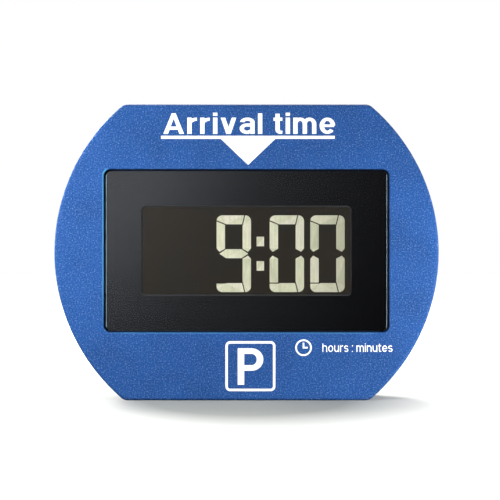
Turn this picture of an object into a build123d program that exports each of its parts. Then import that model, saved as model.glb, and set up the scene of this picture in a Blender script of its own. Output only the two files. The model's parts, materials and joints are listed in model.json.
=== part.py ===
"""Electronic parking disc for a windscreen: a display module in a two-part case.

Millimetres. X is the width, +Z is up, and the front face looks towards -Y.
The origin is under the middle of the flat bottom edge.
"""
from build123d import *
from math import atan2, degrees
import os

# ---------------------------------------------------------------- case
DISC_RADIUS = 50.0          # radius of the disc's left and right sides
CASE_HEIGHT = 77.0          # from the flat bottom edge to the flat top edge
CASE_DEPTH = 13.0
CORNER_RADIUS = 3.0         # where a flat edge meets the round side
RIM_ROUNDING = 0.8          # rounding of the front and rear edges
SIDE_WALL = 2.0
FRONT_WALL = 2.2
REAR_WALL = 1.8
FRONT_SHELL_DEPTH = 8.0
TONGUE_LENGTH = 1.1         # rear shell's tongue, inside the front shell's wall
TONGUE_THICKNESS = 0.9
FIT_GAP = 0.1               # moulded parts that locate each other

# ---------------------------------------------------------------- window
WINDOW_RISE = 0.4           # window centre above the case centre
LENS_WIDTH = 73.4
LENS_HEIGHT = 41.6
LENS_THICKNESS = 1.0
LENS_CORNER = 1.4
LENS_BEVEL = 0.35
LENS_GAP = 0.4              # gap all round the lens
LENS_SINK = 0.2             # lens front below the case front
OPTICAL_GAP = 0.02          # clear glue between a clear sheet and what it lies on
MASK_THICKNESS = 0.1
TAPE_THICKNESS = 0.15
TAPE_WIDTH = 1.5
OPENING_ROUNDING = 0.25

# ---------------------------------------------------------------- display
VIEW_WIDTH = 54.2
VIEW_HEIGHT = 22.9
VIEW_CORNER = 0.9
VIEW_BEVEL = 0.3            # bevelled inner edge of the carrier's lip
CARRIER_WIDTH = 66.0
CARRIER_HEIGHT = 37.0
CARRIER_LIP = 0.4
CARRIER_GAP = 0.1           # between the mask and the carrier
GLASS_WIDTH = 60.0
FRONT_GLASS_HEIGHT = 32.0
REAR_GLASS_HEIGHT = 26.0
GLASS_THICKNESS = 0.7
POLARIZER_THICKNESS = 0.2
POLARIZER_INSET = 1.0
CELL_GAP = 0.1              # between the two glasses
SEAL_WIDTH = 1.0
GLASS_CLEARANCE = 0.2
ZEBRA_HEIGHT = 1.5
ZEBRA_WIDTH = 2.0
ZEBRA_LENGTH = 56.0

# ---------------------------------------------------------------- digits
DIGIT_WIDTH = 9.0
DIGIT_HEIGHT = 20.1
DIGIT_DROP = 0.77           # digit centre below the window centre
BAR_HORIZONTAL = 2.35       # thickness of the horizontal segments
BAR_VERTICAL = 2.2
SEGMENT_GAP = 0.28
DIGIT_CORNER = 1.5
HOLE_CORNER = 0.15
DIGIT_PITCH = 10.65
HOUR_TO_MINUTE = 13.9       # across the colon
LAST_DIGIT_X = 21.2
COLON_WIDTH = 1.95
COLON_HEIGHT = 2.5
COLON_SPACING = 6.4
UPPER_LEFT_SLANT = 0.9      # rise of the cut between the top and the upper left segments
RIGHT_SLANT = 0.55          # lean of the cuts at the two right corners
MIDDLE_POINT = 0.75         # from the digit's side to the points at mid-height
POINT_SPACING = 1.0         # between the upper and lower verticals' points
NOTCH_MOUTH = 2.7           # height of the notch at the digit's side

# ---------------------------------------------------------------- circuit board
BOARD_WIDTH = 69.0
BOARD_HEIGHT = 60.0
BOARD_THICKNESS = 1.0
BOARD_CORNER = 3.0
BOARD_SCREW_X = 30.0
BOARD_SCREW_RISE = 26.5
BOARD_SCREW_RADIUS = 0.8
BOARD_SCREW_HEAD_RADIUS = 1.6
BOARD_SCREW_HEAD = 0.9
BOARD_SCREW_LENGTH = 3.6
POST_RADIUS = 2.0
PARTS_ROW_GAP = 5.95        # middle of the row of electronic parts, above the cell wells
STANDOFF = 0.1

# ---------------------------------------------------------------- case screws
CASE_SCREW_X = 38.0
CASE_SCREW_RISE = 22.0
CASE_SCREW_RADIUS = 0.95
CASE_SCREW_HEAD_RADIUS = 1.85
CASE_SCREW_HEAD = 1.2
CASE_SCREW_LENGTH = 6.0
CASE_SCREW_SINK = 2.5       # head seat below the rear face
BOSS_RADIUS = 2.6
THREAD_GAP = 0.02
HOLE_GAP = 0.15
TIP_GAP = 0.1

# ---------------------------------------------------------------- batteries
CELL_RADIUS = 12.25
CELL_HEIGHT = 5.0
CELL_PARTING = 1.9          # between the two cells
CELL_RISE = 5.0             # cell centres above the case centre
CELL_CAN_WALL = 0.3
CELL_CAP_RADIUS = 10.6
CELL_CAP_WALL = 0.25
PUCK_GAP = 0.05
CELL_GASKET = 0.5
CELL_STEP = 0.25            # cap stands this far out of the can
WELL_GAP = 0.3
WELL_WALL = 1.0
CONTACT_SHEET = 0.2
CONTACT_WIDTH = 5.0
CLIP_SHEET = 0.25
CLIP_WIDTH = 8.0
CLIP_HEIGHT = 4.3
CONTACT_GAP = 0.02

# ---------------------------------------------------------------- battery door
DOOR_SIDE_MARGIN = 1.25     # door's side, outside the cell wells' bores
DOOR_THICKNESS = 1.2
DOOR_SINK = 0.1             # door face below the rear face
DOOR_MARGIN = 2.0           # door below the cell wells
DOOR_CORNER = 3.0
DOOR_GAP = 0.15
DOOR_TONGUE = 0.9
DOOR_TONGUE_THICKNESS = 0.7
BED_THICKNESS = 1.7
BED_MARGIN = 2.0
GRIP_COUNT = 6
GRIP_PITCH = 2.0
GRIP_LENGTH = 16.0
GRIP_WIDTH = 0.9
GRIP_DEPTH = 0.4
GRIP_FROM_TOP = 7.0

# ---------------------------------------------------------------- buttons
BUTTON_X = 16.0
BUTTON_DROP = 10.95         # button centres below the door
BUTTON_RADIUS = 3.5
BUTTON_GAP = 0.2
BUTTON_SINK = 0.2
BUTTON_FLANGE = 0.9
BUTTON_FLANGE_THICKNESS = 0.95
BUTTON_STEM_RADIUS = 1.6
BUTTON_DISH = 0.35
SWITCH_SIDE = 6.0
SWITCH_HEIGHT = 3.1
PLUNGER_RADIUS = 1.65
PLUNGER_OUT = 0.7
PLUNGER_IN = 0.6
PLUNGER_GAP = 0.1
SWITCH_TRAVEL = 0.35

# ---------------------------------------------------------------- worked-out places
MID_Z = CASE_HEIGHT / 2
WINDOW_Z = MID_Z + WINDOW_RISE
FRONT_Y = -CASE_DEPTH / 2
REAR_Y = CASE_DEPTH / 2
SPLIT_Y = FRONT_Y + FRONT_SHELL_DEPTH
FRONT_INNER_Y = FRONT_Y + FRONT_WALL
REAR_INNER_Y = REAR_Y - REAR_WALL
LENS_BACK_Y = FRONT_Y + LENS_SINK + LENS_THICKNESS
MASK_Y = LENS_BACK_Y + OPTICAL_GAP
MASK_BACK_Y = MASK_Y + MASK_THICKNESS
LEDGE_Y = MASK_BACK_Y + TAPE_THICKNESS
CARRIER_Y = MASK_BACK_Y + CARRIER_GAP
POLARIZER_Y = CARRIER_Y + CARRIER_LIP
FRONT_GLASS_Y = POLARIZER_Y + POLARIZER_THICKNESS + OPTICAL_GAP
CELL_GAP_Y = FRONT_GLASS_Y + GLASS_THICKNESS
REAR_GLASS_Y = CELL_GAP_Y + CELL_GAP
REFLECTOR_Y = REAR_GLASS_Y + GLASS_THICKNESS + OPTICAL_GAP
BOARD_Y = CELL_GAP_Y + ZEBRA_HEIGHT
BOARD_BACK_Y = BOARD_Y + BOARD_THICKNESS
ZEBRA_OFFSET = (FRONT_GLASS_HEIGHT + REAR_GLASS_HEIGHT) / 4
SEAT_Y = REAR_Y - CASE_SCREW_SINK
CELL_Z = MID_Z + CELL_RISE
CELL_X = CELL_RADIUS + CELL_PARTING / 2
DOOR_FACE_Y = REAR_Y - DOOR_SINK
DOOR_INNER_Y = DOOR_FACE_Y - DOOR_THICKNESS
BED_Y = DOOR_INNER_Y - FIT_GAP
CELL_TOP_Y = BED_Y - FIT_GAP * 2
CELL_FOOT_Y = CELL_TOP_Y - CELL_HEIGHT
WELL_BORE = CELL_RADIUS + WELL_GAP
WELL_OUTER = WELL_BORE + WELL_WALL
WELL_FOOT_Y = BOARD_BACK_Y + FIT_GAP
DOOR_HALF_WIDTH = CELL_X + WELL_BORE + DOOR_SIDE_MARGIN
DOOR_Z = CELL_Z - WELL_OUTER - DOOR_MARGIN + WELL_WALL
BUTTON_Z = DOOR_Z - BUTTON_DROP
SWITCH_TOP_Y = BOARD_BACK_Y + SWITCH_HEIGHT
PLUNGER_TOP_Y = SWITCH_TOP_Y + PLUNGER_OUT
BUTTON_TOP_Y = REAR_Y - BUTTON_SINK
FLANGE_TOP_Y = REAR_INNER_Y - FIT_GAP
FLANGE_FOOT_Y = FLANGE_TOP_Y - BUTTON_FLANGE_THICKNESS
PARTS_Z = CELL_Z + WELL_OUTER + PARTS_ROW_GAP

os.makedirs("parts", exist_ok=True)


def save(name, shape):
    """Write one sub-part to its own STEP file."""
    export_step(shape, f"parts/{name}.step")


def group(solids):
    """Several separate solids that share one node."""
    return Compound(children=list(solids))


def slab(sketch, y_front, y_back):
    """Extrude a sketch of (X, Z) from y_front back to y_back."""
    face = Pos(0, y_back, 0) * (Plane.XZ * sketch)
    return extrude(face, amount=y_back - y_front)


def rod(x, z, radius, y_front, y_back):
    """A round bar along Y."""
    return slab(Pos(x, z) * Circle(radius), y_front, y_back)


def block(x, z, width, height, y_front, y_back):
    """A rectangular block, centred on (x, z)."""
    return slab(Pos(x, z) * Rectangle(width, height), y_front, y_back)


def panel(z, width, height, radius, y_front, y_back):
    """A plate with rounded corners, centred on X = 0."""
    return slab(Pos(0, z) * RectangleRounded(width, height, radius), y_front, y_back)


def profile_along_z(points, z, length):
    """Extrude an outline of (X, Y) points along Z, centred on z."""
    face = make_face(Polyline(*points, close=True))
    return Pos(0, 0, z - length / 2) * extrude(face, amount=length)


def outline(inset):
    """The disc's outline, inset all round."""
    disc = Circle(DISC_RADIUS - inset)
    disc &= Rectangle(2 * DISC_RADIUS, CASE_HEIGHT - 2 * inset)
    return Pos(0, MID_Z) * fillet(disc.vertices(), CORNER_RADIUS)


def end_edges(solid, direction):
    """Edges of the face at one end of the Y axis: -1 is the front, 1 the rear."""
    faces = solid.faces().sort_by(Axis.Y)
    return (faces[0] if direction < 0 else faces[-1]).outer_wire().edges()


def corners(x, rise):
    """The four places at plus and minus x, and rise above and below the middle."""
    return [(sx * x, MID_Z + sz * rise) for sx in (-1, 1) for sz in (-1, 1)]


def screw(x, z, seat_y, radius, head_radius, head, length):
    """A cross-recessed screw, driven from the rear, with its head on seat_y."""
    body = rod(x, z, head_radius, seat_y, seat_y + head)
    body = fillet(end_edges(body, 1), head / 3)
    body += rod(x, z, radius, seat_y - length, seat_y)
    slot_length = head_radius * 1.3
    slot_width = head_radius * 0.3
    slot_floor = seat_y + head * 0.45
    body -= block(x, z, slot_length, slot_width, slot_floor, seat_y + head)
    body -= block(x, z, slot_width, slot_length, slot_floor, seat_y + head)
    return body


# ---------------------------------------------------------------- front shell
def front_housing():
    shell = slab(outline(0), FRONT_Y, SPLIT_Y)
    shell = fillet(end_edges(shell, -1), RIM_ROUNDING)
    shell -= slab(outline(SIDE_WALL), FRONT_INNER_Y, SPLIT_Y)
    rebate = SIDE_WALL - TONGUE_THICKNESS - FIT_GAP
    shell -= slab(outline(rebate), SPLIT_Y - TONGUE_LENGTH - FIT_GAP, SPLIT_Y)
    for x, z in corners(CASE_SCREW_X, CASE_SCREW_RISE):
        shell += rod(x, z, BOSS_RADIUS, FRONT_INNER_Y, SPLIT_Y)
    for x, z in corners(BOARD_SCREW_X, BOARD_SCREW_RISE):
        shell += rod(x, z, POST_RADIUS, FRONT_INNER_Y, BOARD_Y)
    opening_width = LENS_WIDTH + 2 * LENS_GAP
    opening_height = LENS_HEIGHT + 2 * LENS_GAP
    opening = panel(WINDOW_Z, opening_width, opening_height, LENS_CORNER + LENS_GAP, FRONT_Y, LEDGE_Y)
    shell -= opening
    ledge_width = LENS_WIDTH - 2 * TAPE_WIDTH
    ledge_height = LENS_HEIGHT - 2 * TAPE_WIDTH
    shell -= panel(WINDOW_Z, ledge_width, ledge_height, LENS_CORNER, LEDGE_Y, FRONT_INNER_Y)
    rim = [e for e in shell.faces().sort_by(Axis.Y)[0].inner_wires()[0].edges()]
    shell = fillet(rim, OPENING_ROUNDING)
    screw_tip = SEAT_Y - CASE_SCREW_LENGTH - TIP_GAP
    for x, z in corners(CASE_SCREW_X, CASE_SCREW_RISE):
        shell -= rod(x, z, CASE_SCREW_RADIUS + THREAD_GAP, screw_tip, SPLIT_Y)
    screw_tip = BOARD_BACK_Y - BOARD_SCREW_LENGTH - TIP_GAP
    for x, z in corners(BOARD_SCREW_X, BOARD_SCREW_RISE):
        shell -= rod(x, z, BOARD_SCREW_RADIUS + THREAD_GAP, screw_tip, BOARD_Y)
    return shell


# ---------------------------------------------------------------- rear shell
def case_envelope():
    """The rear half of the case, solid, with its rounded rear edge."""
    half = slab(outline(0), SPLIT_Y, REAR_Y)
    return fillet(end_edges(half, 1), RIM_ROUNDING)


def door_sketch(gap):
    """The door's outline, which runs up past the top edge."""
    top = CASE_HEIGHT + DOOR_CORNER * 2
    height = top - DOOR_Z + gap
    width = 2 * (DOOR_HALF_WIDTH + gap)
    return Pos(0, top - height / 2) * RectangleRounded(width, height, DOOR_CORNER)


def door_tongues(gap):
    """The strip that spans both tongues, or both grooves when gap is more than 0."""
    foot = DOOR_Z + DOOR_CORNER - gap
    height = CASE_HEIGHT - foot
    width = 2 * (DOOR_HALF_WIDTH + DOOR_TONGUE + gap)
    y_back = DOOR_INNER_Y + DOOR_TONGUE_THICKNESS
    y_front = BED_Y if gap > 0 else DOOR_INNER_Y
    return block(0, foot + height / 2, width, height, y_front, y_back + gap * 2 / 3)


def rear_housing():
    envelope = case_envelope()
    shell = envelope - slab(outline(SIDE_WALL), SPLIT_Y, REAR_INNER_Y)
    ring = slab(outline(SIDE_WALL - TONGUE_THICKNESS), SPLIT_Y - TONGUE_LENGTH, SPLIT_Y)
    shell += ring - slab(outline(SIDE_WALL), SPLIT_Y - TONGUE_LENGTH, SPLIT_Y)
    bed_half = DOOR_HALF_WIDTH + DOOR_TONGUE + BED_MARGIN
    bed_foot = DOOR_Z - BED_MARGIN
    bed_top = CASE_HEIGHT - SIDE_WALL
    bed_middle = (bed_foot + bed_top) / 2
    shell += block(0, bed_middle, 2 * bed_half, bed_top - bed_foot, BED_Y - BED_THICKNESS, REAR_INNER_Y)
    for side in (-1, 1):
        shell += rod(side * CELL_X, CELL_Z, WELL_OUTER, WELL_FOOT_Y, BED_Y)
    for x, z in corners(CASE_SCREW_X, CASE_SCREW_RISE):
        shell += rod(x, z, BOSS_RADIUS, SPLIT_Y + FIT_GAP, REAR_INNER_Y)
    shell -= slab(door_sketch(DOOR_GAP), BED_Y, REAR_Y)
    shell -= door_tongues(DOOR_GAP)
    for side in (-1, 1):
        shell -= rod(side * CELL_X, CELL_Z, WELL_BORE, WELL_FOOT_Y, BED_Y)
        shell -= rod(side * BUTTON_X, BUTTON_Z, BUTTON_RADIUS + BUTTON_GAP, REAR_INNER_Y, REAR_Y)
    clip_slot = CLIP_WIDTH + 2 * WELL_GAP
    clip_top = BOARD_BACK_Y + CLIP_HEIGHT + FIT_GAP
    shell -= block(0, CELL_Z, 2 * WELL_WALL + CLIP_SHEET * 8, clip_slot, WELL_FOOT_Y, clip_top)
    for x, z in corners(CASE_SCREW_X, CASE_SCREW_RISE):
        shell -= rod(x, z, CASE_SCREW_RADIUS + HOLE_GAP, SPLIT_Y, SEAT_Y)
        shell -= rod(x, z, CASE_SCREW_HEAD_RADIUS + HOLE_GAP, SEAT_Y, REAR_Y)
    return shell


def battery_door():
    door = slab(door_sketch(0), DOOR_INNER_Y, DOOR_FACE_Y)
    door += door_tongues(0)
    door &= case_envelope()
    for index in range(GRIP_COUNT):
        z = CASE_HEIGHT - GRIP_FROM_TOP - index * GRIP_PITCH
        door -= block(0, z, GRIP_LENGTH, GRIP_WIDTH, DOOR_FACE_Y - GRIP_DEPTH, DOOR_FACE_Y)
    return door


def housing_screws():
    places = corners(CASE_SCREW_X, CASE_SCREW_RISE)
    size = (CASE_SCREW_RADIUS, CASE_SCREW_HEAD_RADIUS, CASE_SCREW_HEAD, CASE_SCREW_LENGTH)
    return group(screw(x, z, SEAT_Y, *size) for x, z in places)


# ---------------------------------------------------------------- window and display
def window_lens():
    lens = panel(WINDOW_Z, LENS_WIDTH, LENS_HEIGHT, LENS_CORNER, FRONT_Y + LENS_SINK, LENS_BACK_Y)
    return chamfer(end_edges(lens, -1), LENS_BEVEL)


def lens_mask():
    mask = panel(WINDOW_Z, LENS_WIDTH, LENS_HEIGHT, LENS_CORNER, MASK_Y, MASK_BACK_Y)
    clear_width = VIEW_WIDTH + 2 * VIEW_BEVEL
    clear_height = VIEW_HEIGHT + 2 * VIEW_BEVEL
    radius = VIEW_CORNER + VIEW_BEVEL
    return mask - panel(WINDOW_Z, clear_width, clear_height, radius, MASK_Y, MASK_BACK_Y)


def lens_tape():
    tape = panel(WINDOW_Z, LENS_WIDTH, LENS_HEIGHT, LENS_CORNER, MASK_BACK_Y, LEDGE_Y)
    inner_width = LENS_WIDTH - 2 * TAPE_WIDTH
    inner_height = LENS_HEIGHT - 2 * TAPE_WIDTH
    return tape - panel(WINDOW_Z, inner_width, inner_height, LENS_CORNER, MASK_BACK_Y, LEDGE_Y)


def lcd_carrier():
    carrier = panel(WINDOW_Z, CARRIER_WIDTH, CARRIER_HEIGHT, LENS_CORNER, CARRIER_Y, BOARD_Y)
    pocket_width = GLASS_WIDTH + 2 * GLASS_CLEARANCE
    pocket_height = FRONT_GLASS_HEIGHT + 2 * GLASS_CLEARANCE
    carrier -= block(0, WINDOW_Z, pocket_width, pocket_height, POLARIZER_Y, BOARD_Y)
    carrier -= panel(WINDOW_Z, VIEW_WIDTH, VIEW_HEIGHT, VIEW_CORNER, CARRIER_Y, POLARIZER_Y)
    lip = carrier.faces().sort_by(Axis.Y)[0].inner_wires()[0].edges()
    return chamfer(lip, VIEW_BEVEL)


def lcd_front_polarizer():
    width = GLASS_WIDTH - 2 * POLARIZER_INSET
    height = REAR_GLASS_HEIGHT - 2 * POLARIZER_INSET
    return block(0, WINDOW_Z, width, height, POLARIZER_Y, POLARIZER_Y + POLARIZER_THICKNESS)


def lcd_front_glass():
    return block(0, WINDOW_Z, GLASS_WIDTH, FRONT_GLASS_HEIGHT, FRONT_GLASS_Y, CELL_GAP_Y)


def lcd_seal():
    seal = block(0, WINDOW_Z, GLASS_WIDTH, REAR_GLASS_HEIGHT, CELL_GAP_Y, REAR_GLASS_Y)
    inner_width = GLASS_WIDTH - 2 * SEAL_WIDTH
    inner_height = REAR_GLASS_HEIGHT - 2 * SEAL_WIDTH
    return seal - block(0, WINDOW_Z, inner_width, inner_height, CELL_GAP_Y, REAR_GLASS_Y)


def lcd_rear_glass():
    return block(0, WINDOW_Z, GLASS_WIDTH, REAR_GLASS_HEIGHT, REAR_GLASS_Y, REAR_GLASS_Y + GLASS_THICKNESS)


def lcd_reflector():
    width = GLASS_WIDTH - 2 * POLARIZER_INSET
    height = REAR_GLASS_HEIGHT - 2 * POLARIZER_INSET
    return block(0, WINDOW_Z, width, height, REFLECTOR_Y, REFLECTOR_Y + POLARIZER_THICKNESS)


# ---------------------------------------------------------------- digit segments
HALF_W = DIGIT_WIDTH / 2
HALF_H = DIGIT_HEIGHT / 2
INNER_X = HALF_W - BAR_VERTICAL
INNER_Z = HALF_H - BAR_HORIZONTAL
HALF_BAR = BAR_HORIZONTAL / 2


def gap_bar(start, end):
    """A thin bar that parts two segments, run a little past both its ends."""
    line = Vector(*end) - Vector(*start)
    middle = Vector(*start) + line * 0.5
    length = line.length + SEGMENT_GAP * 2
    angle = degrees(atan2(line.Y, line.X))
    return Pos(middle.X, middle.Y) * Rot(0, 0, angle) * Rectangle(length, SEGMENT_GAP)


def corner_cuts():
    """The lines that part the segments at a digit's corners, in its own (X, Z)."""
    return [
        ((-INNER_X, INNER_Z), (-HALF_W, INNER_Z + UPPER_LEFT_SLANT)),
        ((INNER_X, INNER_Z), (INNER_X + RIGHT_SLANT, HALF_H)),
        ((INNER_X, -INNER_Z), (INNER_X + RIGHT_SLANT, -HALF_H)),
        ((-INNER_X, -INNER_Z), (-HALF_W, -INNER_Z)),
    ]


def middle_cut(side):
    """The cut at mid-height that points the verticals and the middle segment."""
    tip_x = side * (HALF_W - MIDDLE_POINT)
    mouth_x = side * HALF_W
    inner_x = side * (INNER_X - SEGMENT_GAP)
    upper = [
        (mouth_x, NOTCH_MOUTH / 2), (tip_x, POINT_SPACING / 2),
        (inner_x, HALF_BAR + SEGMENT_GAP), (inner_x, HALF_BAR),
    ]
    lower = [(x, -z) for x, z in reversed(upper)]
    return make_face(Polyline(*upper, (tip_x, 0), *lower, close=True))


def digit_faces():
    """The seven segments of one digit as flat faces, by letter."""
    figure = RectangleRounded(DIGIT_WIDTH, DIGIT_HEIGHT, DIGIT_CORNER)
    hole_height = INNER_Z - HALF_BAR
    hole = RectangleRounded(2 * INNER_X, hole_height, HOLE_CORNER)
    for side in (-1, 1):
        figure -= Pos(0, side * (HALF_BAR + hole_height / 2)) * hole
    for start, end in corner_cuts():
        figure -= gap_bar(start, end)
    for side in (-1, 1):
        figure -= middle_cut(side)
    mid_bar = HALF_W - BAR_VERTICAL / 2
    middles = {
        "a": (0, HALF_H - HALF_BAR), "b": (mid_bar, HALF_H / 2), "c": (mid_bar, -HALF_H / 2),
        "d": (0, HALF_BAR - HALF_H), "e": (-mid_bar, -HALF_H / 2), "f": (-mid_bar, HALF_H / 2),
        "g": (0, 0),
    }
    faces = {}
    for letter, (x, z) in middles.items():
        faces[letter] = min(figure.faces(), key=lambda face: (face.center() - Vector(x, z)).length)
    return faces


THIRD_X = LAST_DIGIT_X - DIGIT_PITCH
SECOND_X = THIRD_X - HOUR_TO_MINUTE
FIRST_X = SECOND_X - DIGIT_PITCH
DIGIT_Z = WINDOW_Z - DIGIT_DROP
SHOWN = {FIRST_X: "", SECOND_X: "abcdfg", THIRD_X: "abcdef", LAST_DIGIT_X: "abcdef"}


def segment_solids(lit):
    """All segments that are lit, or all that are not."""
    solids = []
    y_front = CELL_GAP_Y + OPTICAL_GAP
    y_back = REAR_GLASS_Y - OPTICAL_GAP
    for x, letters in SHOWN.items():
        for letter, face in digit_faces().items():
            if (letter in letters) == lit:
                solids.append(slab(Pos(x, DIGIT_Z) * face, y_front, y_back))
    if lit:
        colon_x = (SECOND_X + THIRD_X) / 2
        for side in (-1, 1):
            z = DIGIT_Z + side * COLON_SPACING / 2
            solids.append(block(colon_x, z, COLON_WIDTH, COLON_HEIGHT, y_front, y_back))
    return group(solids)


# ---------------------------------------------------------------- circuit board
def main_pcb():
    board = panel(MID_Z, BOARD_WIDTH, BOARD_HEIGHT, BOARD_CORNER, BOARD_Y, BOARD_BACK_Y)
    for x, z in corners(BOARD_SCREW_X, BOARD_SCREW_RISE):
        board -= rod(x, z, BOARD_SCREW_RADIUS + HOLE_GAP, BOARD_Y, BOARD_BACK_Y)
    return board


def pcb_screws():
    places = corners(BOARD_SCREW_X, BOARD_SCREW_RISE)
    size = (BOARD_SCREW_RADIUS, BOARD_SCREW_HEAD_RADIUS, BOARD_SCREW_HEAD, BOARD_SCREW_LENGTH)
    return group(screw(x, z, BOARD_BACK_Y, *size) for x, z in places)


def zebra_strip(side):
    z = WINDOW_Z + side * ZEBRA_OFFSET
    return block(0, z, ZEBRA_LENGTH, ZEBRA_WIDTH, CELL_GAP_Y, BOARD_Y)


IC_X = -12.0
IC_SIDE = 7.0
IC_HEIGHT = 1.4
IC_LEADS = 8
IC_LEAD_PITCH = 0.75
IC_LEAD_WIDTH = 0.3
IC_LEAD_REACH = 1.0
IC_LEAD_SHEET = 0.15


def controller_ic():
    y_front = BOARD_BACK_Y + STANDOFF
    body = block(IC_X, PARTS_Z, IC_SIDE, IC_SIDE, y_front, y_front + IC_HEIGHT)
    return chamfer(end_edges(body, 1), IC_LEAD_SHEET)


def controller_leads():
    """Gull-wing leads on all four sides, foot on the board."""
    half = IC_SIDE / 2
    top = BOARD_BACK_Y + STANDOFF + IC_HEIGHT / 2
    foot = BOARD_BACK_Y
    knee = half + IC_LEAD_REACH / 2
    shape = [
        (half, top), (knee, top), (knee, foot + IC_LEAD_SHEET), (half + IC_LEAD_REACH, foot + IC_LEAD_SHEET),
        (half + IC_LEAD_REACH, foot), (knee - IC_LEAD_SHEET, foot), (knee - IC_LEAD_SHEET, top - IC_LEAD_SHEET),
        (half, top - IC_LEAD_SHEET),
    ]
    leads = []
    for turn in range(4):
        for index in range(IC_LEADS):
            along = (index - (IC_LEADS - 1) / 2) * IC_LEAD_PITCH
            lead = profile_along_z(shape, along, IC_LEAD_WIDTH)
            leads.append(Pos(IC_X, 0, PARTS_Z) * Rot(0, 90 * turn, 0) * lead)
    return group(leads)


CRYSTAL_X = 11.0
CRYSTAL_RADIUS = 1.0
CRYSTAL_LENGTH = 6.0
SENSOR_X = -3.0
SENSOR_SIDE = 3.0
SENSOR_HEIGHT = 1.0
BUFFER_X = 4.0
BUFFER_WIDTH = 3.5
BUFFER_LENGTH = 2.8
BUFFER_HEIGHT = 1.9
CHIP_COUNT = 4
CHIP_X = 16.5
CHIP_PITCH = 2.6
CHIP_WIDTH = 0.8
CHIP_LENGTH = 1.6
CHIP_HEIGHT = 0.6
CHIP_ROW = 2.2


def quartz_crystal():
    can = Pos(CRYSTAL_X, BOARD_BACK_Y + CRYSTAL_RADIUS, PARTS_Z)
    return can * Cylinder(CRYSTAL_RADIUS, CRYSTAL_LENGTH)


def motion_sensor():
    return block(SENSOR_X, PARTS_Z, SENSOR_SIDE, SENSOR_SIDE, BOARD_BACK_Y, BOARD_BACK_Y + SENSOR_HEIGHT)


def buffer_capacitor():
    y_back = BOARD_BACK_Y + BUFFER_HEIGHT
    body = block(BUFFER_X, PARTS_Z, BUFFER_WIDTH, BUFFER_LENGTH, BOARD_BACK_Y, y_back)
    return chamfer(end_edges(body, 1), IC_LEAD_SHEET)


def chip_row(side):
    """A row of small surface-mount chips, above or below the parts row's middle."""
    z = PARTS_Z + side * CHIP_ROW
    y_back = BOARD_BACK_Y + CHIP_HEIGHT
    places = [CHIP_X + index * CHIP_PITCH for index in range(CHIP_COUNT)]
    return group(block(x, z, CHIP_WIDTH, CHIP_LENGTH, BOARD_BACK_Y, y_back) for x in places)


# ---------------------------------------------------------------- buttons and switches
def switch_body(side):
    body = block(side * BUTTON_X, BUTTON_Z, SWITCH_SIDE, SWITCH_SIDE, BOARD_BACK_Y, SWITCH_TOP_Y)
    bore_floor = SWITCH_TOP_Y - PLUNGER_IN - SWITCH_TRAVEL - FIT_GAP
    return body - rod(side * BUTTON_X, BUTTON_Z, PLUNGER_RADIUS + PLUNGER_GAP, bore_floor, SWITCH_TOP_Y)


def switch_plunger(side):
    return rod(side * BUTTON_X, BUTTON_Z, PLUNGER_RADIUS, SWITCH_TOP_Y - PLUNGER_IN, PLUNGER_TOP_Y)


def button(side):
    x = side * BUTTON_X
    cap = rod(x, BUTTON_Z, BUTTON_RADIUS, FLANGE_FOOT_Y, BUTTON_TOP_Y)
    cap = fillet(end_edges(cap, 1), BUTTON_DISH)
    cap += rod(x, BUTTON_Z, BUTTON_RADIUS + BUTTON_FLANGE, FLANGE_FOOT_Y, FLANGE_TOP_Y)
    cap += rod(x, BUTTON_Z, BUTTON_STEM_RADIUS, PLUNGER_TOP_Y, FLANGE_FOOT_Y)
    return cap


# ---------------------------------------------------------------- batteries and contacts
def coin_cell_can(side):
    can = rod(side * CELL_X, CELL_Z, CELL_RADIUS, CELL_FOOT_Y + CELL_STEP, CELL_TOP_Y)
    can = fillet(end_edges(can, 1), CELL_CAN_WALL)
    pocket_radius = CELL_CAP_RADIUS + CELL_GASKET
    pocket_top = CELL_TOP_Y - CELL_CAN_WALL
    return can - rod(side * CELL_X, CELL_Z, pocket_radius, CELL_FOOT_Y, pocket_top)


def coin_cell_gasket(side):
    y_front = CELL_FOOT_Y + CELL_STEP / 2
    y_back = CELL_TOP_Y - 2 * CELL_CAN_WALL
    ring = rod(side * CELL_X, CELL_Z, CELL_CAP_RADIUS + CELL_GASKET, y_front, y_back)
    return ring - rod(side * CELL_X, CELL_Z, CELL_CAP_RADIUS, y_front, y_back)


def coin_cell_cap(side):
    y_back = CELL_TOP_Y - 2 * CELL_CAN_WALL
    cap = rod(side * CELL_X, CELL_Z, CELL_CAP_RADIUS, CELL_FOOT_Y, y_back)
    cap = chamfer(end_edges(cap, -1), CELL_STEP / 2)
    inner_radius = CELL_CAP_RADIUS - CELL_CAP_WALL
    return cap - rod(side * CELL_X, CELL_Z, inner_radius, CELL_FOOT_Y + CELL_CAP_WALL, y_back)


def coin_cell_electrodes(side):
    """The pressed cathode, separator and lithium, as one puck inside the cap."""
    y_back = CELL_TOP_Y - 2 * CELL_CAN_WALL
    radius = CELL_CAP_RADIUS - CELL_CAP_WALL - PUCK_GAP
    return rod(side * CELL_X, CELL_Z, radius, CELL_FOOT_Y + CELL_CAP_WALL, y_back)


def negative_contact(side):
    """A leaf spring folded back over its own base, under the cell's cap."""
    base_half = 6.0
    leaf_end = 3.0
    foot = BOARD_BACK_Y
    tip = CELL_FOOT_Y - CONTACT_GAP
    rise = CONTACT_SHEET * 1.6
    shape = [
        (-base_half, foot), (base_half, foot), (base_half, foot + CONTACT_SHEET),
        (-base_half + rise * 2, foot + CONTACT_SHEET), (leaf_end, tip - CONTACT_SHEET), (leaf_end, tip),
        (-base_half, foot + rise),
    ]
    leaf = profile_along_z(shape, CELL_Z, CONTACT_WIDTH)
    return Pos(side * CELL_X, 0, 0) * leaf


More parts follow.
